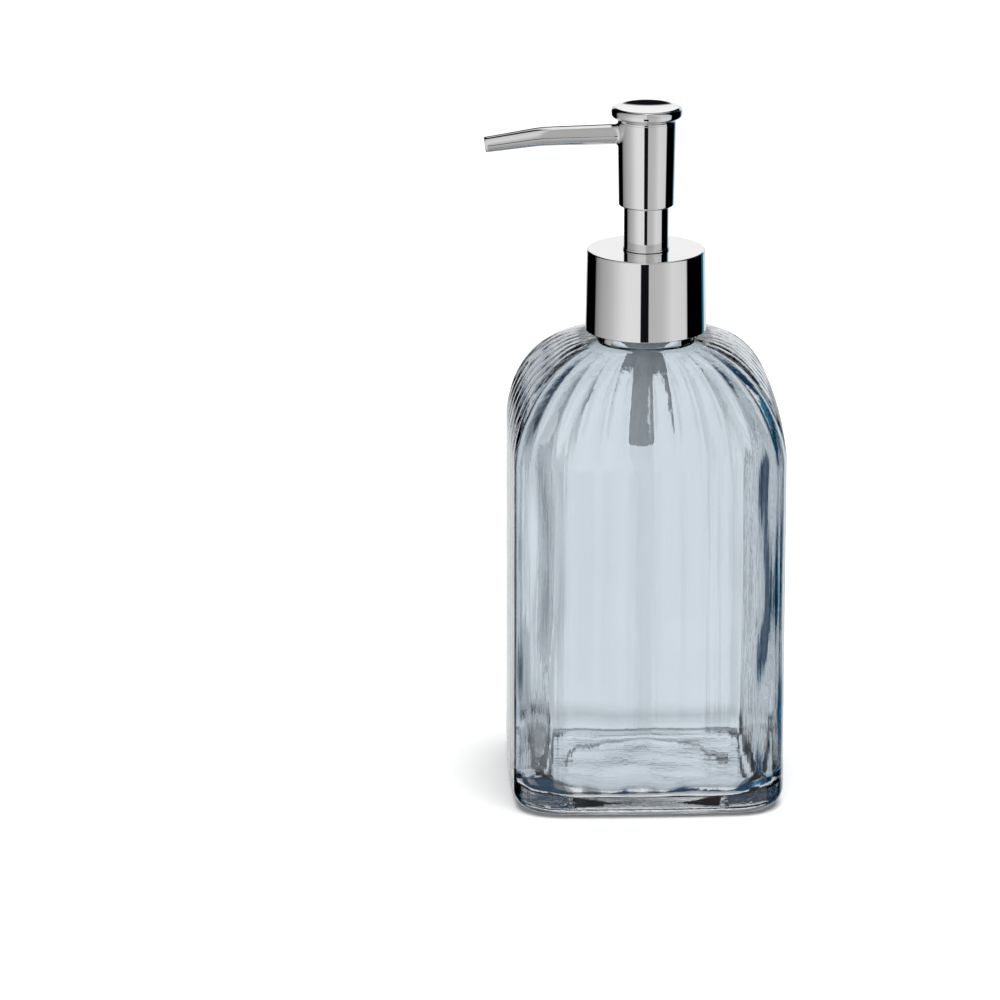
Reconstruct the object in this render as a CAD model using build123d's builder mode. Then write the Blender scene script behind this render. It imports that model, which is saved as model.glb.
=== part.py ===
from build123d import *
from math import cos, pi, radians, sin, sqrt
import os

# Soap pump dispenser, in millimetres. Z is up, the base stands on z = 0 with the bottle's axis
# on the Z axis, and the spout points along -X.
os.makedirs("parts", exist_ok=True)

# ---- driving dimensions ----
# bottle
bottle_width = 75.0
corner_radius = 13.0
inner_corner = 12.0
side_bow = 0.6
heel_radius = 4.7
inner_heel = 8.0
wall = 2.4
glass_floor = 4.0
shoulder_height = 97.0
dome_top = 126.3
dome_power = 1.9
dome_steps = 8
heel_steps = 4
flutes = 40
points_per_flute = 4
flute_depth = 0.25
dome_flute_depth = 0.9
crown_radius = 15.0
neck_flare = 1.2
neck_radius = 12.5
neck_bore = 10.0
neck_top = 145.5
pushup_radius = 24.0
pushup_depth = 0.8

# screw thread between neck and cap
thread_pitch = 25.4 / 6
thread_radius = 13.7
thread_start = 133.5
thread_turns = 1.25
thread_gap = 0.3

# closure
collar_top = 150.5
collar_bottom = 128.3
collar_top_radius = 16.1
collar_bottom_radius = 16.5
collar_skin = 0.5
cap_top = 149.9
cap_plate = 1.0
cap_bottom = 129.6
cap_inner_radius = 14.0
seat_gap = 0.05

# pump housing
gasket_height = 1.2
flange_height = 1.2
flange_radius = 12.3
barrel_radius = 6.35
barrel_bore = 5.45
barrel_bottom = 123.0
spring_case_radius = 5.5
spring_case_bore = 4.6
spring_case_bottom = 116.7
tail_radius = 3.5
tail_bottom = 96.5
chamber_floor = 117.5
ball_pocket = 2.75
port_radius = 1.5
inlet_cone = 111.5

# stem group, which travels down by the stroke and then leaves a gap under the head
stroke = 9.5
pressed_gap = 2.7
stem_radius = 3.5
stem_bore = 1.5
stem_top = 180.8
piston_bottom = 136.7
piston_top = 143.2
outlet_cone = 174.5
outlet_pocket = 2.7
ball_gap = 0.04
inlet_ball_radius = 2.4
outlet_ball_radius = 2.2

# guide neck and its chrome sleeve
guide_radius = 5.0
guide_bore = 3.8
guide_fit = 0.1
guide_top = 165.6
sleeve_radius = 6.1
sleeve_foot = 150.6
sleeve_top = 166.2
bead_radius = 6.3
bead_height = 0.6

# head
head_bottom = collar_top + pressed_gap + stroke
head_bottom_radius = 7.55
head_top = 186.4
head_top_radius = 7.95
head_bore = 6.45
core_bottom = 176.2
core_top = 185.3
socket_top = 181.0
disc_radius = 9.65
disc_top = 190.0
disc_rim = 187.3
stub_bottom = 185.4

# spout
spout_height = 182.4
spout_root_radius = 2.8
spout_bend = 28.5
spout_bend_drop = 0.4
spout_reach = 43.8
spout_tip_drop = 2.7
spout_bend_radius = 2.62
spout_tip_radius = 2.15
spout_skin = 0.5
spout_inner_end = 4.7
spout_level_end = head_top_radius + 0.4

# worked out from the above
housing_seat = neck_top + gasket_height
chaplet_seat = housing_seat + flange_height
cone_step = 1 / sqrt(2)
inlet_ball_height = inlet_cone - port_radius + inlet_ball_radius / cone_step + ball_gap
outlet_ball_height = outlet_cone - port_radius + outlet_ball_radius / cone_step + ball_gap


def dome(step, steps, width, top_width, height, top):
    """Half width and height of a section of the shoulder, on a rounded quarter curve."""
    angle = radians(82 * step / steps)
    half = top_width + (width - top_width) * cos(angle) ** (2 / dome_power)
    return half, height + (top - height) * sin(angle) ** (2 / dome_power)


def corner(half, width, radius, crown):
    """Corner radius of a section, which grows to a full circle at the crown."""
    share = (width - half) / (width - crown)
    return min(radius + (crown - radius) * share, half - 0.05)


# ---- bottle: rounded square walls, domed shoulder, threaded round neck ----
half_width = bottle_width / 2
inner_half = half_width - wall
inner_top = dome_top - wall
crown_low = shoulder_height + 15


def rib_points(half, radius, depth):
    """Points along a rounded square with bowed sides, whose edge dips by depth between even ribs."""
    flat = 2 * (half - radius)
    bow = side_bow * min(1, flat / (2 * (half_width - corner_radius)))
    side = flat + pi * radius / 2
    count = flutes * points_per_flute
    points = []
    for index in range(count):
        quarter, along = divmod(4 * side * index / count + flat / 2, side)
        angle = max(along - flat, 0) / radius
        inset = depth * (1 - cos(2 * pi * index / points_per_flute)) / 2
        middle = min(along - flat / 2, flat / 2)
        x = half - radius + (radius - inset) * cos(angle) - bow * (2 * middle / flat) ** 2
        y = middle + (radius - inset) * sin(angle) - bow * sin(angle) ** 2
        points.append(Vector(x, y).rotate(Axis.Z, 90 * quarter))
    return points


with BuildPart() as hollow:
    with BuildSketch(Plane.XY.offset(glass_floor)):
        RectangleRounded(2 * inner_half, 2 * inner_half, inner_corner)
    extrude(amount=shoulder_height - glass_floor)
    fillet(hollow.edges().group_by(Axis.Z)[0], inner_heel)
    for step in range(dome_steps + 1):
        half, height = dome(step, dome_steps, inner_half, neck_bore, shoulder_height, inner_top)
        with BuildSketch(Plane.XY.offset(height)):
            RectangleRounded(2 * half, 2 * half, corner(half, inner_half, inner_corner, neck_bore))
    loft()
    with BuildSketch(Plane.XY.offset(shoulder_height)):
        Circle(neck_bore)
    extrude(amount=neck_top - shoulder_height)

with BuildPart() as bottle:
    # rounded heel
    for step in range(heel_steps + 1):
        angle = pi / 2 * step / heel_steps
        half = half_width - heel_radius * (1 - sin(angle))
        points = rib_points(half, half - half_width + corner_radius, flute_depth * step / heel_steps)
        with BuildSketch(Plane.XY.offset(heel_radius * (1 - cos(angle)))):
            with BuildLine():
                Spline(*points, periodic=True)
            make_face()
    loft()
    # straight walls
    with BuildSketch(Plane.XY.offset(heel_radius)):
        with BuildLine():
            Spline(*rib_points(half_width, corner_radius, flute_depth), periodic=True)
        make_face()
    extrude(amount=shoulder_height - heel_radius)
    # domed shoulder, where the flutes deepen and run together towards the neck
    for step in range(dome_steps + 1):
        half, height = dome(step, dome_steps, half_width, crown_radius, shoulder_height, dome_top)
        depth = flute_depth + (dome_flute_depth - flute_depth) * sin(pi * step / dome_steps)
        points = rib_points(half, corner(half, half_width, corner_radius, crown_radius), depth)
        with BuildSketch(Plane.XY.offset(height)):
            with BuildLine():
                Spline(*points, periodic=True)
            make_face()
    loft()
    # neck, flared into the shoulder, with a rounded rim
    flare_foot = (neck_radius + neck_flare, dome_top - 0.4)
    flare_end = (neck_radius, dome_top + neck_flare - 0.4)
    with BuildSketch(Plane.XZ):
        with BuildLine():
            Polyline((0, crown_low), (neck_radius + neck_flare, crown_low), flare_foot)
            RadiusArc(flare_foot, flare_end, neck_flare)
            Polyline(
                flare_end,
                (neck_radius, neck_top - 0.6),
                (neck_radius - 0.6, neck_top),
                (0, neck_top),
                (0, crown_low),
            )
        make_face()
    revolve(axis=Axis.Z)
    # hollow inside
    add(hollow.part, mode=Mode.SUBTRACT)
    # shallow dish under the base, which leaves a flat ring to stand on
    with BuildSketch():
        Circle(pushup_radius)
    extrude(amount=pushup_depth, taper=45, mode=Mode.SUBTRACT)


def thread(inner, outer, root, crest, start, turns):
    """A helical ridge with sloping flanks, from radius inner to radius outer."""
    with BuildPart() as ridge:
        with BuildLine():
            path = Helix(thread_pitch, turns * thread_pitch, abs(inner), center=(0, 0, start))
        with BuildSketch(Plane.XZ):
            with BuildLine():
                Polyline(
                    (inner, start - root / 2),
                    (outer, start - crest / 2),
                    (outer, start + crest / 2),
                    (inner, start + root / 2),
                    close=True,
                )
            make_face()
        sweep(path=path, is_frenet=True)
    return ridge.part


with BuildPart() as threaded_bottle:
    add(bottle.part)
    add(thread(neck_radius - 0.15, thread_radius, 2.2, 1.0, thread_start, thread_turns))

threaded_bottle.part.label = "bottle"
export_step(threaded_bottle.part, "parts/bottle.step")

# ---- neck gasket ----
with BuildPart() as neck_gasket:
    with BuildSketch(Plane.XY.offset(neck_top)):
        Circle(flange_radius)
        Circle(barrel_radius + 1.2, mode=Mode.SUBTRACT)
    extrude(amount=gasket_height)

neck_gasket.part.label = "neck_gasket"
export_step(neck_gasket.part, "parts/neck_gasket.step")

# ---- screw cap: ribbed plastic closure with a thread inside ----
cap_radius = collar_top_radius - collar_skin - seat_gap
with BuildPart() as cap_shell:
    with BuildSketch(Plane.XY.offset(cap_bottom)):
        Circle(cap_radius)
    extrude(amount=cap_top - cap_bottom)
    chamfer(cap_shell.edges().group_by(Axis.Z)[-1], 0.4)
    with BuildSketch(Plane.XY.offset(cap_bottom)):
        Circle(cap_inner_radius)
    extrude(amount=cap_top - cap_plate - cap_bottom, mode=Mode.SUBTRACT)
    with BuildSketch(Plane.XY.offset(cap_bottom)):
        Circle(bead_radius)
    extrude(amount=cap_top - cap_bottom, mode=Mode.SUBTRACT)
    # fine grip grooves on the skirt
    with BuildSketch(Plane.XY.offset(cap_bottom)):
        with PolarLocations(cap_radius, 48):
            Circle(0.35)
    extrude(amount=cap_top - cap_bottom - 3, mode=Mode.SUBTRACT)

cap_thread_start = thread_start - 1.4 / 2 - 2.2 / 2 - thread_gap
with BuildPart() as screw_cap:
    add(cap_shell.part)
    add(thread(cap_inner_radius + 0.15, neck_radius + 0.4, 1.4, 0.7, cap_thread_start, 1.0))

screw_cap.part.label = "screw_cap"
export_step(screw_cap.part, "parts/screw_cap.step")

# ---- collar shell: drawn chrome sleeve with a flat top ----
with BuildPart() as collar_shell:
    with BuildSketch(Plane.XZ):
        with BuildLine():
            Polyline(
                (guide_radius + 0.6, collar_top),
                (collar_top_radius, collar_top),
                (collar_bottom_radius, collar_bottom),
                (collar_bottom_radius - collar_skin, collar_bottom),
                (collar_top_radius - collar_skin, collar_top - collar_skin),
                (guide_radius + 0.6, collar_top - collar_skin),
                close=True,
            )
        make_face()
    revolve(axis=Axis.Z)
    fillet(collar_shell.edges().filter_by(GeomType.CIRCLE).group_by(Axis.Z)[-1].sort_by(Edge.radius)[-1], 0.4)

collar_shell.part.label = "collar_shell"
export_step(collar_shell.part, "parts/collar_shell.step")

# ---- pump housing: stepped barrel with a flange, an inlet seat and the dip tube socket ----
tube_radius = 2.5
tube_bore = 1.8
tube_socket_top = inlet_cone - 2.5
with BuildPart() as pump_housing:
    with BuildSketch(Plane.XZ):
        with BuildLine():
            Polyline(
                (barrel_bore, chaplet_seat),
                (flange_radius, chaplet_seat),
                (flange_radius, housing_seat),
                (barrel_radius, housing_seat),
                (barrel_radius, barrel_bottom + 0.8),
                (barrel_radius - 0.8, barrel_bottom),
                (spring_case_radius, barrel_bottom),
                (spring_case_radius, spring_case_bottom + 0.8),
                (spring_case_radius - 0.8, spring_case_bottom),
                (tail_radius, spring_case_bottom),
                (tail_radius, tail_bottom),
                (tube_radius, tail_bottom),
                (tube_radius, tube_socket_top),
                (port_radius, tube_socket_top),
                (port_radius, inlet_cone),
                (ball_pocket, inlet_cone + ball_pocket - port_radius),
                (ball_pocket, chamber_floor),
                (spring_case_bore, chamber_floor),
                (spring_case_bore, barrel_bottom + 1.2),
                (barrel_bore, barrel_bottom + 2.2),
                close=True,
            )
        make_face()
    revolve(axis=Axis.Z)
    # air vent, which lets air in as the soap is used
    with BuildSketch(Plane.YZ):
        with Locations((0, piston_bottom + 3.3)):
            Circle(0.5)
    extrude(amount=barrel_radius + 1, mode=Mode.SUBTRACT)

pump_housing.part.label = "pump_housing"
export_step(pump_housing.part, "parts/pump_housing.step")

# ---- spring seat: perforated washer, also the upper stop of the inlet ball ----
spring_seat_height = 1.2
with BuildPart() as spring_seat:
    with BuildSketch(Plane.XY.offset(chamber_floor)):
        Circle(spring_case_bore - seat_gap)
        with PolarLocations(2.1, 4):
            Circle(0.9, mode=Mode.SUBTRACT)
    extrude(amount=spring_seat_height)

spring_seat.part.label = "spring_seat"
export_step(spring_seat.part, "parts/spring_seat.step")

# ---- return spring ----
spring_wire = 0.7
spring_coil_radius = 3.8
spring_coils = 6.5
spring_bottom = chamber_floor + spring_seat_height + spring_wire / 2 + seat_gap
spring_length = piston_bottom - spring_wire / 2 - seat_gap - spring_bottom
spring_pitch = spring_length / spring_coils
with BuildPart() as return_spring:
    with BuildLine():
        coil = Helix(spring_pitch, spring_length, spring_coil_radius, center=(0, 0, spring_bottom))
    with BuildSketch(Plane(origin=coil @ 0, z_dir=coil % 0)):
        Circle(spring_wire / 2)
    sweep(path=coil, is_frenet=True)

return_spring.part.label = "return_spring"
export_step(return_spring.part, "parts/return_spring.step")

# ---- check valve balls ----
with BuildPart(Plane.XY.offset(inlet_ball_height)) as inlet_ball:
    Sphere(inlet_ball_radius)

inlet_ball.part.label = "inlet_ball"
export_step(inlet_ball.part, "parts/inlet_ball.step")

with BuildPart(Plane.XY.offset(outlet_ball_height)) as outlet_ball:
    Sphere(outlet_ball_radius)

outlet_ball.part.label = "outlet_ball"
export_step(outlet_ball.part, "parts/outlet_ball.step")

# ---- dip tube: its foot is cut at a slant so that it can't seal on the floor ----
tube_bottom = glass_floor + 3
with BuildPart() as dip_tube:
    with BuildSketch(Plane.XY.offset(tube_bottom)):
        Circle(tube_radius)
        Circle(tube_bore, mode=Mode.SUBTRACT)
    extrude(amount=tube_socket_top - tube_bottom)
    split(bisect_by=Plane(origin=(0, 0, tube_bottom + 2.5), z_dir=(1, 0, 1)), keep=Keep.TOP)

dip_tube.part.label = "dip_tube"
export_step(dip_tube.part, "parts/dip_tube.step")

# ---- chaplet: snaps into the housing and guides the stem ----
with BuildPart() as chaplet:
    with BuildSketch(Plane.XZ):
        with BuildLine():
            Polyline(
                (stem_radius + guide_fit, piston_top + 0.3),
                (barrel_bore - seat_gap, piston_top + 0.3),
                (barrel_bore - seat_gap, chaplet_seat),
                (9.0, chaplet_seat),
                (9.0, cap_top - cap_plate - 0.1),
                (guide_radius, cap_top - cap_plate - 0.1),
                (guide_radius, guide_top),
                (stem_radius + guide_fit, guide_top),
                (stem_radius + guide_fit, guide_top - 5),
                (guide_bore, guide_top - 6),
                (guide_bore, chaplet_seat + 1),
                (stem_radius + guide_fit, chaplet_seat),
                close=True,
            )
        make_face()
    revolve(axis=Axis.Z)

chaplet.part.label = "chaplet"
export_step(chaplet.part, "parts/chaplet.step")

# ---- neck sleeve: chrome tube over the chaplet, with a foot bead and a closed-in top ----
with BuildPart() as neck_sleeve:
    with BuildSketch(Plane.XZ):
        with BuildLine():
            Polyline(
                (guide_radius + seat_gap, sleeve_foot),
                (bead_radius - 0.25, sleeve_foot),
                (bead_radius, sleeve_foot + 0.25),
                (bead_radius, sleeve_foot + bead_height - 0.25),
                (bead_radius - 0.25, sleeve_foot + bead_height),
                (sleeve_radius, sleeve_foot + bead_height),
                (sleeve_radius, sleeve_top - 0.3),
                (sleeve_radius - 0.3, sleeve_top),
                (guide_bore + 0.1, sleeve_top),
                (guide_bore + 0.1, guide_top + seat_gap),
                (guide_radius + seat_gap, guide_top + seat_gap),
                close=True,
            )
        make_face()
    revolve(axis=Axis.Z)

neck_sleeve.part.label = "neck_sleeve"
export_step(neck_sleeve.part, "parts/neck_sleeve.step")

# ---- pump stem: hollow rod with the outlet valve seat in its top ----
with BuildPart() as pump_stem:
    with BuildSketch(Plane.XZ):
        with BuildLine():
            Polyline(
                (stem_bore, piston_bottom + 1.0),
                (stem_radius - 0.3, piston_bottom + 1.0),
                (stem_radius, piston_bottom + 1.3),
                (stem_radius, stem_top - 0.3),
                (stem_radius - 0.3, stem_top),
                (outlet_pocket, stem_top),
                (outlet_pocket, outlet_cone + outlet_pocket - port_radius),
                (port_radius, outlet_cone),
                close=True,
            )
        make_face()
    revolve(axis=Axis.Z)

pump_stem.part.label = "pump_stem"
export_step(pump_stem.part, "parts/pump_stem.step")

# ---- piston: cup on the foot of the stem, with a groove for the seal ----
piston_hub = 4.35
with BuildPart() as piston:
    with BuildSketch(Plane.XZ):
        with BuildLine():
            Polyline(
                (port_radius, piston_bottom),
                (4.9, piston_bottom),
                (4.9, piston_bottom + 0.9),
                (piston_hub, piston_bottom + 0.9),
                (piston_hub, piston_top),
                (stem_radius, piston_top),
                (stem_radius, piston_bottom + 1.0),
                (port_radius, piston_bottom + 1.0),
                close=True,
            )
        make_face()
    revolve(axis=Axis.Z)

piston.part.label = "piston"
export_step(piston.part, "parts/piston.step")

# ---- piston seal: soft ring with a lip at each end ----
seal_bottom = piston_bottom + 0.9
seal_top = piston_top - 0.4
lip_radius = barrel_bore - seat_gap
with BuildPart() as piston_seal:
    with BuildSketch(Plane.XZ):
        with BuildLine():
            Polyline(
                (piston_hub, seal_bottom),
                (lip_radius - 0.3, seal_bottom),
                (lip_radius, seal_bottom + 0.3),
                (lip_radius, seal_bottom + 0.9),
                (lip_radius - 0.4, seal_bottom + 1.6),
                (lip_radius - 0.4, seal_top - 1.6),
                (lip_radius, seal_top - 0.9),
                (lip_radius, seal_top - 0.3),
                (lip_radius - 0.3, seal_top),
                (piston_hub, seal_top),
                close=True,
            )
        make_face()
    revolve(axis=Axis.Z)

piston_seal.part.label = "piston_seal"
export_step(piston_seal.part, "parts/piston_seal.step")

# ---- outlet cage: notched ring that keeps the outlet ball in the stem ----
cage_height = 1.4
with BuildPart() as outlet_cage:
    with BuildSketch(Plane.XY.offset(stem_top - cage_height)):
        Circle(outlet_pocket)
        Circle(1.2, mode=Mode.SUBTRACT)
        with PolarLocations(1.6, 3):
            RectangleRounded(1.4, 0.8, 0.3, mode=Mode.SUBTRACT)
    extrude(amount=cage_height)

outlet_cage.part.label = "outlet_cage"
export_step(outlet_cage.part, "parts/outlet_cage.step")

# ---- head body: chrome barrel that telescopes over the neck sleeve ----
with BuildPart() as actuator_body:
    with BuildSketch(Plane.XZ):
        with BuildLine():
            Polyline(
                (head_bore, head_bottom),
                (head_bottom_radius, head_bottom),
                (head_top_radius, head_top),
                (head_bore, head_top),
                close=True,
            )
        make_face()
    revolve(axis=Axis.Z)
    fillet(actuator_body.edges().group_by(Axis.Z)[0].sort_by(Edge.radius)[-1], 0.6)
    with BuildSketch(Plane.YZ.offset(-head_top_radius - 1)):
        with Locations((0, spout_height)):
            Circle(spout_root_radius)
    extrude(amount=head_top_radius + 1, mode=Mode.SUBTRACT)

actuator_body.part.label = "actuator_body"
export_step(actuator_body.part, "parts/actuator_body.step")

# ---- head core: plastic insert with the stem socket and the way to the spout ----
channel_radius = 1.6
with BuildPart() as actuator_core:
    with BuildSketch(Plane.XY.offset(core_bottom)):
        Circle(head_bore)
    extrude(amount=core_top - core_bottom)
    with BuildSketch(Plane.XY.offset(core_bottom)):
        Circle(stem_radius + guide_fit)
    extrude(amount=socket_top - core_bottom, mode=Mode.SUBTRACT)
    with BuildSketch(Plane.XY.offset(core_bottom)):
        Circle(channel_radius)
    extrude(amount=spout_height - core_bottom, mode=Mode.SUBTRACT)
    with BuildSketch(Plane.YZ):
        with Locations((0, spout_height)):
            Circle(channel_radius)
    extrude(amount=-head_bore, mode=Mode.SUBTRACT)
    with BuildSketch(Plane.YZ.offset(-spout_inner_end)):
        with Locations((0, spout_height)):
            Circle(spout_root_radius)
    extrude(amount=spout_inner_end - head_bore, mode=Mode.SUBTRACT)

actuator_core.part.label = "actuator_core"
export_step(actuator_core.part, "parts/actuator_core.step")

# ---- head cap: dished disc with a flared underside and a stub in the barrel ----
dish_depth = 0.45
dish_sphere = ((disc_radius - 1.3) ** 2 + dish_depth**2) / (2 * dish_depth)
with BuildPart() as actuator_cap:
    with BuildSketch(Plane.XZ):
        with BuildLine():
            Polyline(
                (0, stub_bottom),
                (head_bore, stub_bottom),
                (head_bore, head_top),
                (head_top_radius, head_top),
                (head_top_radius, head_top + 0.2),
            )
            RadiusArc((head_top_radius, head_top + 0.2), (disc_radius - 0.35, disc_rim), 2.2)
            Line((disc_radius - 0.35, disc_rim), (disc_radius, disc_rim + 0.4))
            Line((disc_radius, disc_rim + 0.4), (disc_radius, disc_top - 1.3))
            RadiusArc((disc_radius, disc_top - 1.3), (disc_radius - 1.3, disc_top), -1.3)
            RadiusArc((disc_radius - 1.3, disc_top), (0, disc_top - dish_depth), dish_sphere)
            Line((0, disc_top - dish_depth), (0, stub_bottom))
        make_face()
    revolve(axis=Axis.Z)

actuator_cap.part.label = "actuator_cap"
export_step(actuator_cap.part, "parts/actuator_cap.step")


# ---- spout: tapered tube, level at first and drooping after a soft bend ----
def spout_stations():
    """Distance from the axis, height and outer radius along the spout's centre line."""
    return (
        (spout_level_end, spout_height, spout_root_radius),
        (spout_bend * 0.5, spout_height - spout_bend_drop * 0.3, spout_root_radius),
        (spout_bend - 3.5, spout_height - spout_bend_drop * 0.75, spout_bend_radius + 0.03),
        (spout_bend, spout_height - spout_bend_drop * 1.35, spout_bend_radius),
        (spout_bend + 3.5, spout_height - spout_bend_drop * 2.3, spout_bend_radius - 0.06),
        (spout_reach, spout_height - spout_tip_drop, spout_tip_radius),
    )


def spout_solid(inset):
    """The spout's outer shape, made smaller all round by inset."""
    stations = spout_stations()
    with BuildPart() as solid:
        with BuildSketch(Plane.YZ.offset(-spout_level_end)):
            with Locations((0, spout_height)):
                Circle(spout_root_radius - inset)
        extrude(amount=spout_level_end - spout_inner_end)
        for index, (reach, height, radius) in enumerate(stations):
            before = stations[max(index - 1, 0)]
            after = stations[min(index + 1, len(stations) - 1)]
            slope = (after[1] - before[1]) / (after[0] - before[0]) if index > 0 else 0
            with BuildSketch(Plane(origin=(-reach, 0, height), x_dir=(0, 1, 0), z_dir=(-1, 0, slope))):
                Circle(radius - inset)
        loft()
    return solid.part


liner_skin = 0.6
spout_blank = spout_solid(0)
spout_hollow = spout_solid(spout_skin)
spout_way = spout_solid(spout_skin + liner_skin)

with BuildPart() as spout:
    add(spout_blank)
    add(spout_hollow, mode=Mode.SUBTRACT)

spout.part.label = "spout"
export_step(spout.part, "parts/spout.step")

with BuildPart() as spout_liner:
    add(spout_hollow)
    add(spout_way, mode=Mode.SUBTRACT)
    with BuildSketch(Plane.YZ.offset(-spout_reach + 1.2)):
        with Locations((0, spout_height)):
            Circle(8)
    extrude(amount=-5, mode=Mode.SUBTRACT)

spout_liner.part.label = "spout_liner"
export_step(spout_liner.part, "parts/spout_liner.step")
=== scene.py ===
import math

import bmesh
import bpy
from mathutils import Matrix, Vector, noise


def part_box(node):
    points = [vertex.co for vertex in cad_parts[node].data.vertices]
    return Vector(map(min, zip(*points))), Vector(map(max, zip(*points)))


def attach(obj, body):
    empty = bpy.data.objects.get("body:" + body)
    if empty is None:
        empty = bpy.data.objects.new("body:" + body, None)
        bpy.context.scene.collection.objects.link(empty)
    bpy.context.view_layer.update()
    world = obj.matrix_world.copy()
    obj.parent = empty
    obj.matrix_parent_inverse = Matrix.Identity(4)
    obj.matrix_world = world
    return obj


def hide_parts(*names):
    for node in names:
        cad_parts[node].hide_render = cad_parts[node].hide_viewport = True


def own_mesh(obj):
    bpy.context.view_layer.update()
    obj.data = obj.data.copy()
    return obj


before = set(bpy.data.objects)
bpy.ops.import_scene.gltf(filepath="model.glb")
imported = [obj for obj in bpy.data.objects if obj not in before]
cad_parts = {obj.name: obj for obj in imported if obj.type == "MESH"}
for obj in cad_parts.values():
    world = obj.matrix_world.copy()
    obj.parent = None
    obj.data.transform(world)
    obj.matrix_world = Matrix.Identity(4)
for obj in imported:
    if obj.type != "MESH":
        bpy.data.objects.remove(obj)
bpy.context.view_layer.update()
mm = 0.001
print("frame loaded")


class Wire:
    # one output socket, whose sums and products add Math nodes
    def __init__(self, tree, socket):
        self.tree = tree
        self.socket = socket

    def math(self, kind, first, second=None):
        values = [v for v in (first, second) if v is not None]
        return addNode(self.tree, "ShaderNodeMath", {"operation": kind}, dict(enumerate(values)))

    def __add__(self, other):
        return self.math("ADD", self, other)

    def __radd__(self, other):
        return self.math("ADD", other, self)

    def __sub__(self, other):
        return self.math("SUBTRACT", self, other)

    def __rsub__(self, other):
        return self.math("SUBTRACT", other, self)

    def __mul__(self, other):
        return self.math("MULTIPLY", self, other)

    def __rmul__(self, other):
        return self.math("MULTIPLY", other, self)

    def __truediv__(self, other):
        return self.math("DIVIDE", self, other)

    def __rtruediv__(self, other):
        return self.math("DIVIDE", other, self)

    def clamp(self):
        return addNode(self.tree, "ShaderNodeClamp", {}, {0: self})


def addNode(tree, kind, settings, inputs, output=0):
    node = tree.nodes.new(kind)
    for name, value in settings.items():
        if name == "stops":
            ramp = node.color_ramp
            for position, colour in value[:-1]:
                stop = ramp.elements.new(position)
                stop.color = colour
            ramp.elements.remove(ramp.elements[0])
            ramp.elements[-1].position = value[-1][0]
            ramp.elements[-1].color = value[-1][1]
        else:
            setattr(node, name, value)
    for name, value in inputs.items():
        if isinstance(value, Wire):
            tree.links.new(value.socket, node.inputs[name])
        else:
            node.inputs[name].default_value = value
    return Wire(tree, node.outputs[output]) if len(node.outputs) else None


def mixColour(tree, factor, first, second, kind="MIX"):
    settings = {"data_type": "RGBA", "blend_type": kind}
    return addNode(tree, "ShaderNodeMix", settings, {0: factor, 6: first, 7: second}, 2)


def newMaterial(name):
    material = bpy.data.materials.new(name)
    material.use_nodes = True
    tree = material.node_tree
    tree.nodes.clear()
    return material, tree


def placeCoords(tree, scale=(1, 1, 1)):
    coords = addNode(tree, "ShaderNodeTexCoord", {}, {}, "Object")
    return addNode(tree, "ShaderNodeMapping", {}, {"Vector": coords, "Scale": scale})


def grain(tree, coords, scale, detail=2.0, roughness=0.5):
    inputs = {"Vector": coords, "Scale": scale, "Detail": detail, "Roughness": roughness}
    return addNode(tree, "ShaderNodeTexNoise", {}, inputs)


def finishMaterial(tree, sockets, bump=None):
    inputs = dict(sockets)
    if bump:
        height, strength, distance = bump
        inputs["Normal"] = addNode(
            tree, "ShaderNodeBump", {}, {"Height": height, "Strength": strength, "Distance": distance}
        )
    surface = addNode(tree, "ShaderNodeBsdfPrincipled", {}, inputs)
    addNode(tree, "ShaderNodeOutputMaterial", {}, {"Surface": surface})


def rgb(red, green, blue):
    return (red, green, blue, 1.0)


def mirrorChrome():
    material, tree = newMaterial("mirrorChrome")
    coords = placeCoords(tree)
    smudge = grain(tree, coords, 60.0, 3.0)
    fine = grain(tree, coords, 900.0, 1.0)
    rough = 0.015 + smudge * 0.02 + fine * 0.01
    tint = mixColour(tree, smudge, rgb(0.80, 0.80, 0.80), rgb(0.86, 0.86, 0.855))
    finishMaterial(tree, {"Base Color": tint, "Metallic": 1.0, "Roughness": rough}, (fine, 0.02, 0.00002))
    return material


def bottleGlass():
    material, tree = newMaterial("bottleGlass")
    streaks = grain(tree, placeCoords(tree, (1, 1, 0.03)), 520.0, 4.0)
    ripples = grain(tree, placeCoords(tree, (1, 1, 0.25)), 55.0, 2.0)
    stipple = grain(tree, placeCoords(tree), 1100.0, 1.0)
    low = addNode(tree, "ShaderNodeSeparateXYZ", {}, {0: placeCoords(tree)}, "Z")
    heel = ((0.0065 - low) * 400).clamp()  # moulded stipple round the foot
    height = streaks * 0.75 + ripples * 0.5 + stipple * heel * 0.2
    tint = mixColour(tree, ripples, rgb(0.80, 0.855, 0.895), rgb(0.83, 0.875, 0.915))
    sockets = {"Base Color": tint, "Roughness": 0.0, "IOR": 1.5, "Transmission Weight": 1.0}
    finishMaterial(tree, sockets, (height, 0.3, 0.0004))
    return material


def mouldedPlastic(name, colour, rough, clear=0.0, shine=0.5, solid=1.0):
    material, tree = newMaterial(name)
    coords = placeCoords(tree)
    cloud = grain(tree, coords, 45.0, 2.0)
    skin = grain(tree, coords, 1400.0, 2.0)
    darker = rgb(*[channel * 0.93 for channel in colour])
    tint = mixColour(tree, cloud, darker, rgb(*colour))
    sockets = {
        "Base Color": tint,
        "Roughness": rough + cloud * 0.08,
        "Transmission Weight": clear,
        "IOR": 1.49,
        "Specular IOR Level": shine,
        "Alpha": solid,
    }
    finishMaterial(tree, sockets, (skin, 0.12, 0.00003))
    return material


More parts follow.
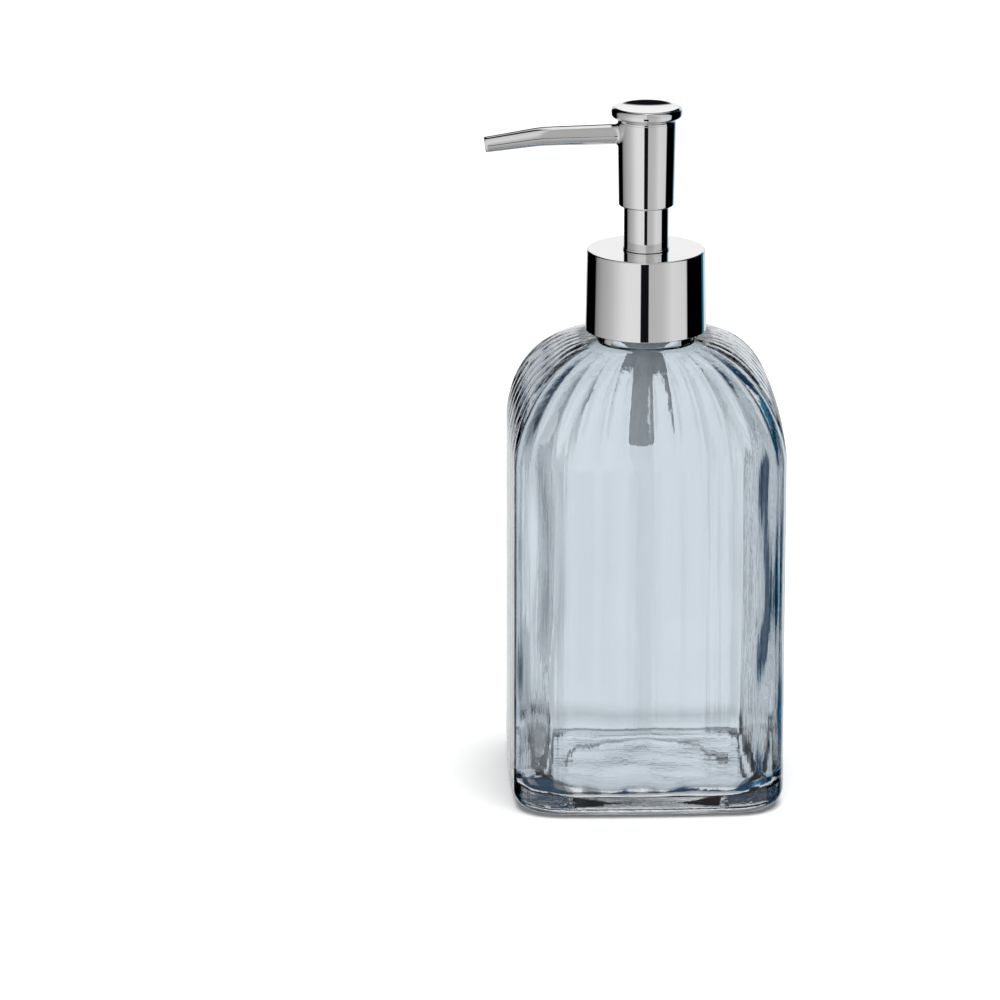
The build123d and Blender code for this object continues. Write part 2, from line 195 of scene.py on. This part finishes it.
def springWire():
    material, tree = newMaterial("springWire")
    coords = placeCoords(tree, (1, 1, 6))
    drawn = grain(tree, coords, 500.0, 2.0)
    tint = mixColour(tree, drawn, rgb(0.52, 0.52, 0.53), rgb(0.66, 0.66, 0.67))
    sockets = {"Base Color": tint, "Metallic": 1.0, "Roughness": 0.22 + drawn * 0.12}
    finishMaterial(tree, sockets, (drawn, 0.1, 0.00002))
    return material


chrome = mirrorChrome()
glass = bottleGlass()
frosted = mouldedPlastic("frostedHousing", (0.96, 0.99, 1.0), 0.5, 0.04)
clearTube = mouldedPlastic("clearTube", (0.93, 0.97, 1.0), 0.25, 0.0, 0.2, 0.04)
whitePlastic = mouldedPlastic("whitePlastic", (0.80, 0.80, 0.78), 0.38)
capPlastic = mouldedPlastic("capPlastic", (0.74, 0.76, 0.78), 0.42)
softSeal = mouldedPlastic("softSeal", (0.70, 0.72, 0.73), 0.55)
darkLiner = mouldedPlastic("darkLiner", (0.03, 0.03, 0.035), 0.45)
wire = springWire()
print("materials made")


def finishPiece(name, bm, material, node, body, sharp=38):
    bmesh.ops.remove_doubles(bm, verts=bm.verts, dist=0.000002)
    bmesh.ops.recalc_face_normals(bm, faces=bm.faces)
    mesh = bpy.data.meshes.new(name)
    bm.to_mesh(mesh)
    bm.free()
    mesh.shade_smooth()
    mesh.set_sharp_from_angle(angle=math.radians(sharp))
    mesh.materials.append(material)
    piece = bpy.data.objects.new(name, mesh)
    bpy.context.scene.collection.objects.link(piece)
    evenNormals = piece.modifiers.new("evenNormals", "WEIGHTED_NORMAL")
    evenNormals.keep_sharp = True
    evenNormals.weight = 60
    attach(piece, body)
    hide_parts(node)
    return piece


def section(outline, rounds, closed=True, segments=6):
    # a wire section in the XZ plane, with the corners named in rounds rounded off
    bm = bmesh.new()
    corners = [bm.verts.new((radius * mm, 0, height * mm)) for radius, height in outline]
    for first, second in zip(corners, corners[1:]):
        bm.edges.new((first, second))
    if closed:
        bm.edges.new((corners[-1], corners[0]))
    for size in sorted(set(rounds.values())):
        chosen = [corners[index] for index, radius in rounds.items() if radius == size]
        bmesh.ops.bevel(
            bm, geom=chosen, offset=size * mm, offset_type="OFFSET", segments=segments,
            profile=0.5, affect="VERTICES", material=-1,
        )
    return bm


def turn(bm, steps=192):
    bmesh.ops.spin(
        bm, geom=bm.verts[:] + bm.edges[:], cent=(0, 0, 0), axis=(0, 0, 1),
        angle=math.tau, steps=steps, use_merge=True,
    )
    return bm


def top(node):
    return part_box(node)[1][2] / mm


def bottom(node):
    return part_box(node)[0][2] / mm


def reach(node):
    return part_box(node)[1][0] / mm


bottle = {
    "half": reach("bottle"),
    "corner": 13.0,
    "heel": 4.7,
    "wall": 2.4,
    "floor": 4.0,
    "shoulder": 97.0,
    "dome": 126.3,
    "roundness": 1.9,
    "bow": 0.6,
    "crown": 15.0,
    "neck": 12.5,
    "flare": 1.2,
    "bore": 10.0,
    "rim": top("bottle"),
    "flutes": 40,
    "stepsPerFlute": 8,
    "wallLobe": 0.14,
    "domeLobe": 0.7,
    "innerCorner": 12.0,
    "innerHeel": 8.0,
    "innerLobe": 0.05,
    "ripple": 0.35,
    "cornerRipple": 5.0,
    "heelWave": 1.8,
    "baseDish": {"depth": 0.8, "radius": 24.2, "inner": 21.0, "edge": 23.3, "edgeDrop": 0.1},
    "threadBand": (131.5, 141.0),
    "threadPitch": 25.4 / 6,
    "threadHeight": 1.2,
    "threadStart": 133.5,
    "threadTurns": 1.25,
}


def ringPoint(share, half, corner):
    # a point and its outward direction, at a share of the way round a rounded square
    if not half:
        return Vector(), Vector()
    flat = 2 * (half - corner)
    side = flat + math.pi * corner / 2
    quarter, along = divmod(4 * side * share + flat / 2, side)
    angle = max(along - flat, 0) / corner
    out = Vector((math.cos(angle), math.sin(angle), 0))
    spot = Vector((half - corner, min(along - flat / 2, flat / 2), 0)) + out * corner
    drop = bottle["bow"] * min(1, flat / (2 * bottle["half"] - 2 * bottle["corner"]))
    spot.x -= drop * min(1, abs(spot.y) * 2 / max(flat, 0.1)) ** 2  # the sides bow out a little
    spot.y -= drop * math.sin(angle) ** 2
    spin = Matrix.Rotation(quarter * math.pi / 2, 3, "Z")
    return spin @ spot, spin @ out


def lobeDip(share, depth):
    # each flute is a low rounded lobe, lowest along the crease between two of them
    across = 2 * ((share * bottle["flutes"]) % 1) - 1
    return depth * abs(across) ** 2.4


def threadRise(share, height):
    # how far the screw thread stands out of the neck
    turns = (height - bottle["threadStart"]) / bottle["threadPitch"]
    rise = 0.0
    for lap in range(-1, 3):
        along = share + lap
        if -0.02 <= along <= bottle["threadTurns"] + 0.02:
            left = bottle["threadTurns"] + 0.02 - along
            ends = min(1, max(0, (along + 0.02) / 0.06), max(0, left / 0.06))
            away = abs(turns - along) * bottle["threadPitch"]
            rise = max(rise, ends * min(1, max(0, (1.1 - away) / 0.6)))
    return rise * bottle["threadHeight"]


def shapeRing(share, row):
    # a point of the skin, on a row of height, half width, corner radius, lobe depth, ripple and kind
    height, half, corner, depth, ripple, kind = row
    spot, out = ringPoint(share, half, corner)
    offset = -lobeDip(share, depth)
    if kind == "thread":
        offset += threadRise(share, height)
    if ripple:
        place = Vector((spot.x * 0.10, spot.y * 0.10, height * 0.04))
        diagonal = 4 * (out.x * out.y) ** 2  # the wall is most uneven in the corners
        offset -= ripple * (1 + bottle["cornerRipple"] * diagonal) * (0.5 + 0.5 * noise.noise(place))
    point = spot + out * offset
    point.z = height
    if kind == "heel":
        wave = noise.noise(Vector((spot.x * 0.11, spot.y * 0.11, 3.0)))
        point.z += bottle["heelWave"] * wave * min(1, (height - bottle["floor"]) / 4)
    return point * mm


def bridge(bm, rings):
    for first, second in zip(rings, rings[1:]):
        bmesh.ops.bridge_loops(bm, edges=first + second)


def domeRow(share, half, topHalf, topHeight):
    angle = math.radians(82) * share
    power = 2 / bottle["roundness"]
    height = bottle["shoulder"] + (topHeight - bottle["shoulder"]) * math.sin(angle) ** power
    return height, topHalf + (half - topHalf) * math.cos(angle) ** power


def domeCorner(rowHalf, half, corner, crown):
    share = (half - rowHalf) / (half - crown)
    return min(corner + (crown - corner) * share, rowHalf - 0.02)


def bottleRows():
    b = bottle
    half, wall = b["half"], b["wall"]
    base = b["baseDish"]
    rows = [(base["depth"], 0.0, 0.0, 0, 0, "")]
    dish = ((base["inner"], 0.0), (base["edge"], base["edgeDrop"]), (base["radius"], base["depth"]))
    for radius, drop in dish:
        rows.append((base["depth"] - drop, radius, radius - 0.1, 0, 0, ""))
    for step in range(11):
        angle = math.pi / 2 * step / 10
        inset = b["heel"] * (1 - math.sin(angle))
        height = b["heel"] * (1 - math.cos(angle))
        rows.append((height, half - inset, b["corner"] - inset * 0.6, b["wallLobe"] * step / 10, 0, ""))
    for step in range(1, 30):
        height = b["heel"] + (b["shoulder"] - b["heel"]) * step / 30
        rows.append((height, half, b["corner"], b["wallLobe"], 0, ""))
    for step in range(45):
        share = step / 44
        height, rowHalf = domeRow(share, half, b["crown"], b["dome"])
        swell = min(1, share / 0.35) ** 1.5 * min(1, (1 - share) / 0.4)
        depth = b["wallLobe"] + (b["domeLobe"] - b["wallLobe"]) * swell
        rows.append((height, rowHalf, domeCorner(rowHalf, half, b["corner"], b["crown"]), depth, 0, ""))
    for step in range(9):
        angle = math.pi / 2 * step / 8
        radius = b["neck"] + b["flare"] * (1 - math.sin(angle))
        rows.append((b["dome"] - 0.35 + b["flare"] * (1 - math.cos(angle)), radius, radius - 0.02, 0, 0, ""))
    bandLow, bandHigh = b["threadBand"]
    for step in range(41):
        height = bandLow + (bandHigh - bandLow) * step / 40
        rows.append((height, b["neck"], b["neck"] - 0.02, 0, 0, "thread"))
    for drop, inset in ((0.9, 0.0), (0.35, 0.12), (0.1, 0.35), (0.0, 0.7)):
        rows.append((b["rim"] - drop, b["neck"] - inset, b["neck"] - inset - 0.02, 0, 0, ""))
    rows.append((b["rim"], b["bore"] + 0.5, b["bore"] + 0.48, 0, 0, ""))
    rows.append((b["rim"] - 0.5, b["bore"], b["bore"] - 0.02, 0, 0, ""))
    innerHalf, innerCorner, innerTop = half - wall, b["innerCorner"], b["dome"] - wall
    for step in range(28, -1, -1):
        share = step / 28
        height, rowHalf = domeRow(share, innerHalf, b["bore"], innerTop)
        corner = domeCorner(rowHalf, innerHalf, innerCorner, b["bore"])
        rows.append((height, rowHalf, corner, b["innerLobe"] * (1 - share), b["ripple"] * (1 - share), ""))
    low = b["floor"] + b["innerHeel"]
    for step in range(35, 0, -1):
        height = low + (b["shoulder"] - low) * step / 36
        rows.append((height, innerHalf, innerCorner, b["innerLobe"], b["ripple"], ""))
    for step in range(14, -1, -1):
        angle = math.pi / 2 * step / 14
        inset = b["innerHeel"] * (1 - math.sin(angle))
        height = b["floor"] + b["innerHeel"] * (1 - math.cos(angle))
        corner = innerCorner - inset * 0.5
        rows.append((height, innerHalf - inset, corner, b["innerLobe"], b["ripple"], "heel"))
    for step in range(1, 11):
        rowHalf = (innerHalf - b["innerHeel"]) * (1 - step / 10)
        rows.append((b["floor"], rowHalf, min(innerCorner * 0.5, rowHalf * 0.98), 0, 0, "floor"))
    return rows


def makeBottle():
    rows = bottleRows()
    count = bottle["flutes"] * bottle["stepsPerFlute"]
    bm = bmesh.new()
    bmesh.ops.create_grid(bm, x_segments=count, y_segments=len(rows) - 1, size=0.5)
    for vert in bm.verts:
        row = rows[round((vert.co.y + 0.5) * (len(rows) - 1))]
        vert.co = shapeRing(round((vert.co.x + 0.5) * count) / count % 1, row)
        if row[5] == "floor":  # gently uneven inside
            vert.co.z += 0.35 * mm * noise.noise(Vector((vert.co.x * 90, vert.co.y * 90, 0)))
    return finishPiece("fluted_bottle", bm, glass, "bottle", "bottle", 60)


makeBottle()
print("bottle made")


collar = {"topRadius": 16.1, "skin": 0.5, "hole": 5.6, "edge": 0.45, "lip": 0.2}


def makeCollar():
    high, low, wide = top("collar_shell"), bottom("collar_shell"), reach("collar_shell")
    c = collar
    outline = [
        (c["hole"], high), (c["topRadius"], high), (wide, low), (wide - c["skin"], low),
        (c["topRadius"] - c["skin"], high - c["skin"]), (c["hole"], high - c["skin"]),
    ]
    bm = turn(section(outline, {1: c["edge"], 2: c["lip"], 3: c["lip"]}), 256)
    return finishPiece("chrome_collar", bm, chrome, "collar_shell", "closure")


sleeve = {"radius": 6.1, "bore": 5.05, "mouth": 3.9, "bead": 0.5, "wallTop": 0.55, "edge": 0.15}


def makeSleeve():
    high, low, wide = top("neck_sleeve"), bottom("neck_sleeve"), reach("neck_sleeve")
    s = sleeve
    outline = [
        (s["bore"], low), (wide, low), (wide, low + s["bead"]), (s["radius"], low + s["bead"]),
        (s["radius"], high), (s["mouth"], high), (s["mouth"], high - s["wallTop"]),
        (s["bore"], high - s["wallTop"]),
    ]
    bm = turn(section(outline, {1: s["edge"], 2: s["edge"], 3: 0.12, 4: 0.4}), 192)
    return finishPiece("chrome_neck", bm, chrome, "neck_sleeve", "pump_unit")


head = {"lowRadius": 7.55, "bore": 6.45, "lip": 0.55, "innerLip": 0.25, "band": 0.12}


def makeHead():
    high, low, wide = top("actuator_body"), bottom("actuator_body"), reach("actuator_body")
    h = head
    outline = [
        (h["bore"], low), (h["lowRadius"], low), (wide, high - 0.5), (wide - h["band"], high - 0.35),
        (wide - h["band"], high), (h["bore"], high),
    ]
    bm = turn(section(outline, {0: h["innerLip"], 1: h["lip"]}), 224)
    return finishPiece("chrome_barrel", bm, chrome, "actuator_body", "head")


disc = {"stub": 6.45, "waist": 7.83, "rimLow": 187.3, "rimEdge": 1.25, "dish": 0.55, "dishRim": 1.9}


def makeDisc():
    high, low, wide = top("actuator_cap"), bottom("actuator_cap"), reach("actuator_cap")
    d = disc
    shoulder = top("actuator_body")
    outline = [
        (0, low), (d["stub"], low), (d["stub"], shoulder), (d["waist"], shoulder),
        (d["waist"] + 0.1, shoulder + 0.25), (d["waist"] + 0.42, shoulder + 0.52),
        (d["waist"] + 1.02, shoulder + 0.78), (wide - 0.25, d["rimLow"] + 0.1), (wide, d["rimLow"] + 0.45),
        (wide, high), (wide - d["dishRim"], high),
    ]
    for step in range(1, 9):
        share = 1 - step / 8
        outline.append(((wide - d["dishRim"]) * share, high - d["dish"] * (1 - share**2)))
    rounds = {8: 0.3, 9: d["rimEdge"], 10: 0.5}
    bm = turn(section(outline, rounds, closed=False, segments=8), 224)
    return finishPiece("chrome_disc", bm, chrome, "actuator_cap", "head")


spout = {
    "height": 182.4, "rootRadius": 2.8, "rootEnd": 8.4, "bend": 28.5, "bendLength": 4.0,
    "bendRadius": 2.62, "tipRadius": 2.15, "tipBore": 1.6, "tipDrop": 2.7, "levelDrop": 0.45,
    "saddle": 0.7, "barrel": 7.88, "skin": 0.6, "rootStart": 4.7, "lip": 0.35, "stations": 60,
}


def spoutLine(distance):
    # height of the centre line: nearly level, then a soft bend and a straight droop
    s = spout
    tip = -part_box("spout")[0][0] / mm
    slopeRoot = s["levelDrop"] / (s["bend"] - s["rootEnd"])
    slopeTip = (s["tipDrop"] - s["levelDrop"]) / (tip - s["bend"])
    width = s["bendLength"]
    past = (distance - s["bend"]) / width
    soft = width * math.log1p(math.exp(min(past * 4, 40))) / 4
    level = max(distance - s["rootEnd"], 0) * slopeRoot
    return s["height"] - level - (slopeTip - slopeRoot) * soft


def spoutRadius(distance):
    s = spout
    tip = -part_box("spout")[0][0] / mm
    if distance < s["bend"]:
        share = max(distance - s["rootEnd"], 0) / (s["bend"] - s["rootEnd"])
        return s["rootRadius"] + (s["bendRadius"] - s["rootRadius"]) * share
    share = (distance - s["bend"]) / (tip - s["bend"])
    return s["bendRadius"] + (s["tipRadius"] - s["bendRadius"]) * share


def spoutRing(bm, distance, radius, shift=0.0):
    slope = (spoutLine(distance + 0.1) - spoutLine(distance - 0.1)) / 0.2
    along = Vector((-1, 0, slope)).normalized()
    upward = Vector((slope, 0, 1)).normalized()
    centre = Vector((-distance, 0, spoutLine(distance))) + along * shift
    made = bmesh.ops.create_circle(bm, cap_ends=False, segments=64, radius=1)["verts"]
    for vert in made:
        across, raised = vert.co.x, vert.co.y
        vert.co = (centre + Vector((0, 1, 0)) * across * radius + upward * raised * radius) * mm
    return list({edge for vert in made for edge in vert.link_edges})


def saddleRing(bm, angle):
    # one row of the fillet between the spout and the barrel
    s = spout
    radius = s["rootRadius"] + s["saddle"] * (1 - math.cos(angle))
    away = s["saddle"] * (1 - math.sin(angle)) - 0.03
    made = bmesh.ops.create_circle(bm, cap_ends=False, segments=64, radius=1)["verts"]
    for vert in made:
        side, raised = vert.co.x * radius, vert.co.y * radius
        depth = math.sqrt(s["barrel"]**2 - side**2)
        vert.co = Vector((-depth - away, side, s["height"] + raised)) * mm
    return list({edge for vert in made for edge in vert.link_edges})


def makeSpout():
    s = spout
    root, lip = s["rootStart"], s["lip"]
    tip = -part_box("spout")[0][0] / mm - lip
    bore = s["rootRadius"] - s["skin"]
    bm = bmesh.new()
    rings = [spoutRing(bm, root, bore), spoutRing(bm, root, s["rootRadius"] - 0.02)]
    rings += [saddleRing(bm, math.pi / 2 * step / 6) for step in range(6, -1, -1)]
    start = s["rootEnd"] + 0.6
    for step in range(s["stations"] + 1):
        distance = start + (tip - lip - start) * step / s["stations"]
        rings.append(spoutRing(bm, distance, spoutRadius(distance)))
    for step in range(1, 6):
        angle = math.pi * step / 6
        middle = (spoutRadius(tip) + s["tipBore"]) / 2
        half = (spoutRadius(tip) - s["tipBore"]) / 2
        rings.append(spoutRing(bm, tip - lip, middle + half * math.cos(angle), 0.32 * math.sin(angle)))
    rings.append(spoutRing(bm, tip - 0.6, s["tipBore"]))
    rings.append(spoutRing(bm, tip - 6.0, s["tipBore"] + 0.08))
    for step in range(1, 9):
        distance = tip - 6.0 - (tip - 6.0 - root) * step / 8
        rings.append(spoutRing(bm, distance, bore))
    bridge(bm, rings)
    return finishPiece("chrome_spout", bm, chrome, "spout", "head", 50)


makeCollar()
makeSleeve()
makeHead()
makeDisc()
makeSpout()
print("chrome made")


housing = {
    "bore": 5.45, "barrel": 6.35, "barrelEnd": 123.0, "flange": 1.2,
    "springCase": 5.5, "springBore": 4.6, "springEnd": 116.7, "floor": 117.5,
    "tail": 3.5, "socket": 2.5, "socketTop": 109.0, "port": 1.5, "cone": 111.5, "pocket": 2.75,
}


def makeHousing():
    h = housing
    high, low, wide = top("pump_housing"), bottom("pump_housing"), reach("pump_housing")
    outline = [
        (h["bore"], high), (wide, high), (wide, high - h["flange"]), (h["barrel"], high - h["flange"]),
        (h["barrel"], h["barrelEnd"]), (h["springCase"], h["barrelEnd"]), (h["springCase"], h["springEnd"]),
        (h["tail"], h["springEnd"]), (h["tail"], low), (h["socket"], low), (h["socket"], h["socketTop"]),
        (h["port"], h["socketTop"]), (h["port"], h["cone"]),
        (h["pocket"], h["cone"] + h["pocket"] - h["port"]),
        (h["pocket"], h["floor"]), (h["springBore"], h["floor"]), (h["springBore"], h["barrelEnd"] + 1.2),
        (h["bore"], h["barrelEnd"] + 2.2),
    ]
    rounds = {4: 0.5, 6: 0.5, 7: 0.25, 8: 0.2, 3: 0.3, 5: 0.25, 1: 0.2}
    bm = turn(section(outline, rounds, segments=4), 128)
    return finishPiece("clear_pump_housing", bm, frosted, "pump_housing", "pump_unit")


dipTube = {"bore": 1.8}


def makeDipTube():
    high, low, wide = top("dip_tube"), bottom("dip_tube"), reach("dip_tube")
    outline = [(dipTube["bore"], low), (wide, low), (wide, high), (dipTube["bore"], high)]
    bm = turn(section(outline, {}), 64)
    rise = 2 * wide * mm
    for vert in bm.verts:
        if vert.co.z < (low + 1) * mm:  # slanted foot
            vert.co.z += rise * (1 - (vert.co.x / (wide * mm))) / 2
    return finishPiece("clear_dip_tube", bm, clearTube, "dip_tube", "pump_unit")


spring = {"wire": 0.35, "coils": 6.5, "closed": 1.0, "stepsPerTurn": 40, "stroke": 9.5}


def makeSpring():
    s = spring
    low, high = bottom("return_spring") + s["wire"], top("return_spring") - s["wire"]
    radius = reach("return_spring") - s["wire"]
    bm = bmesh.new()
    turn90 = Matrix.Rotation(math.pi / 2, 4, "X")
    place = Matrix.Translation(Vector((radius, 0, low)) * mm)
    bmesh.ops.create_circle(bm, cap_ends=False, segments=12, radius=s["wire"] * mm, matrix=place @ turn90)
    endClimb = s["closed"] * s["wire"] * 2.1  # the end turns lie nearly flat on each other
    middleCoils = s["coils"] - 2 * s["closed"]
    laps = [(s["closed"], endClimb), (middleCoils, high - low - 2 * endClimb), (s["closed"], endClimb)]
    live = bm.verts[:] + bm.edges[:]
    for count, climb in laps:
        steps = round(s["stepsPerTurn"] * count)
        result = bmesh.ops.spin(
            bm, geom=live, cent=(0, 0, 0), axis=(0, 0, 1), dvec=(0, 0, climb * mm / steps),
            angle=math.tau * count, steps=steps,
        )
        live = result["geom_last"]
    ends = [edge for edge in bm.edges if edge.is_boundary]
    bmesh.ops.holes_fill(bm, edges=ends, sides=0)
    piece = finishPiece("coil_spring", bm, wire, "return_spring", "pump_unit")
    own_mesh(piece)
    return piece


makeHousing()
makeDipTube()
makeSpring()
print("pump made")


carried = {
    "neck_gasket": softSeal,
    "screw_cap": capPlastic,
    "chaplet": whitePlastic,
    "spring_seat": whitePlastic,
    "inlet_ball": chrome,
    "outlet_ball": chrome,
    "outlet_cage": whitePlastic,
    "pump_stem": whitePlastic,
    "piston": whitePlastic,
    "piston_seal": softSeal,
    "actuator_core": whitePlastic,
    "spout_liner": darkLiner,
}
for node, material in carried.items():
    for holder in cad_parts[node].material_slots:
        holder.material = material


stage = {"floorHalf": 6.0}


def makeFloor():
    bm = bmesh.new()
    bmesh.ops.create_grid(bm, x_segments=1, y_segments=1, size=stage["floorHalf"])
    mesh = bpy.data.meshes.new("floor")
    bm.to_mesh(mesh)
    bm.free()
    floor = bpy.data.objects.new("floor", mesh)
    bpy.context.scene.collection.objects.link(floor)
    material, tree = newMaterial("paleFloor")
    finishMaterial(tree, {"Base Color": rgb(0.98, 0.98, 0.98), "Roughness": 0.9, "Specular IOR Level": 0.0})
    mesh.materials.append(material)
    floor.visible_glossy = False  # mirrors and glass see the studio walls, not the table
    floor.visible_transmission = False


view = {"azimuth": -3.6, "elevation": 16.0, "distance": 1.8, "lens": 237.0, "aside": 0.0395, "below": 0.0152}


def cameraAxes():
    azimuth, elevation = math.radians(view["azimuth"]), math.radians(view["elevation"])
    back = Vector((
        math.sin(azimuth) * math.cos(elevation), -math.cos(azimuth) * math.cos(elevation), math.sin(elevation)
    ))
    side = Vector((math.cos(azimuth), math.sin(azimuth), 0))
    return back, side, back.cross(side)


def makeCamera():
    back, side, upward = cameraAxes()
    middle = Vector((0, 0, top("actuator_cap") * mm / 2))
    place = middle + back * view["distance"]
    aim = middle - side * view["aside"] - upward * view["below"]
    data = bpy.data.cameras.new("camera")
    data.lens = view["lens"]
    data.clip_start = 0.05
    data.clip_end = 50
    camera = bpy.data.objects.new("camera", data)
    camera.location = place
    camera.rotation_mode = "QUATERNION"
    camera.rotation_quaternion = (aim - place).to_track_quat("-Z", "Y")
    bpy.context.scene.collection.objects.link(camera)
    bpy.context.scene.camera = camera


# the studio walls: grey level by bearing and by height, in degrees. Bearing 0 is the front of
# the object as first viewed, positive to the right, and the walls stay where they are.
walls = {
    "bands": [
        (-180, 1.0), (-176, 1.0), (-168, 0.75), (-158, 0.6), (-156, 0.0), (-114, 0.0),
        (-110, 0.24), (-95, 0.39), (-70, 0.54), (-47, 0.78), (-35, 0.85), (-4, 0.85),
        (2, 0.54), (13, 0.52), (31, 0.56), (52, 0.77), (74, 0.74), (84, 0.7),
        (87, 0.0), (136, 0.0), (148, 0.8), (170, 0.8), (177, 1.0), (180, 1.0),
    ],
    "blue": (138, 147),
    "gap": (-9.8, 5.8),
    "gapHeights": (-18.5, -10),
    "behind": (19, 46),
    "front": [
        (-90, 1.2), (-62, 0.6), (-34, 0.9), (-20, 1.0), (-9, 1.0),
        (0, 0.85), (40, 0.9), (66, 0.85), (90, 0.8),
    ],
    "back": [(-90, 0.4), (-55, 0.55), (-34, 0.85), (-24, 1.0), (-16, 1.0), (50, 1.0), (90, 0.9)],
}
navy = rgb(0.0, 0.022, 0.05)


def between(value, low, high, soft):
    # 1 inside a range, with soft edges
    rise = ((value - low) / soft + 0.5).clamp()
    fall = ((high - value) / soft + 0.5).clamp()
    return rise * fall


def ramp(tree, place, stops):
    # grey levels up to 1.25, at places from 0 to 1
    greys = [(at, rgb(level / 1.25, level / 1.25, level / 1.25)) for at, level in stops]
    return addNode(tree, "ShaderNodeValToRGB", {"stops": greys}, {0: place})


def dotWith(tree, bearing, direction):
    settings = {"operation": "DOT_PRODUCT"}
    return addNode(tree, "ShaderNodeVectorMath", settings, {0: bearing, 1: direction}, "Value")


def makeWorld():
    world = bpy.data.worlds.new("studio")
    bpy.context.scene.world = world
    world.use_nodes = True
    tree = world.node_tree
    tree.nodes.clear()
    back, side = cameraAxes()[:2]
    bearing = addNode(tree, "ShaderNodeTexCoord", {}, {}, "Generated")
    forward = Vector((back.x, back.y, 0)).normalized()
    front = dotWith(tree, bearing, forward)
    right = dotWith(tree, bearing, side)
    rise = dotWith(tree, bearing, (0, 0, 1))
    angle = front.math("ARCTAN2", right, front) * (180 / math.pi)
    level = rise.math("ARCSINE", rise) * (180 / math.pi)
    ringed = (angle + 180) / 360
    tall = (level + 90) / 180
    colour = ramp(tree, ringed, [((degrees + 180) / 360, grey) for degrees, grey in walls["bands"]])
    ahead = ramp(tree, tall, [((degrees + 90) / 180, grey) for degrees, grey in walls["front"]])
    away = ramp(tree, tall, [((degrees + 90) / 180, grey) for degrees, grey in walls["back"]])
    facing = between(angle, -90, 90, 20.0)
    shade = mixColour(tree, facing, away, ahead)
    colour = mixColour(tree, 1.0, colour, shade, "MULTIPLY")
    colour = mixColour(tree, between(angle, *walls["blue"], 2.0), colour, rgb(0.0, 0.11, 0.2))
    gap = between(angle, *walls["gap"], 1.5) * between(level, *walls["gapHeights"], 2.0)
    far = (1 - between(angle, -140, 140, 10.0)) * between(level, *walls["behind"], 3.0)
    colour = mixColour(tree, (gap + far).clamp(), colour, rgb(0.004, 0.004, 0.006))
    through = addNode(tree, "ShaderNodeLightPath", {}, {}, "Is Transmission Ray")
    colour = mixColour(tree, through, colour, mixColour(tree, 1.0, colour, navy, "LIGHTEN"))
    direct = addNode(tree, "ShaderNodeLightPath", {}, {}, "Is Camera Ray")
    seen = mixColour(tree, direct, colour, rgb(0.64, 0.64, 0.64))
    background = addNode(tree, "ShaderNodeBackground", {}, {"Color": seen, "Strength": 1.5625})
    addNode(tree, "ShaderNodeOutputWorld", {}, {"Surface": background})


def makeLamp(name, place, size, power):
    data = bpy.data.lights.new(name, "AREA")
    data.shape = "DISK"
    data.size = size
    data.energy = power
    lamp = bpy.data.objects.new(name, data)
    lamp.location = place
    lamp.rotation_mode = "QUATERNION"
    lamp.rotation_quaternion = (Vector((0, 0, 0.1)) - Vector(place)).to_track_quat("-Z", "Y")
    lamp.visible_glossy = False
    lamp.visible_transmission = False
    lamp.visible_camera = False
    bpy.context.scene.collection.objects.link(lamp)


makeFloor()
makeCamera()
makeWorld()
makeLamp("overheadSoftbox", (0.2, -0.2, 2.6), 2.6, 95)
bpy.context.scene.view_settings.view_transform = "Standard"
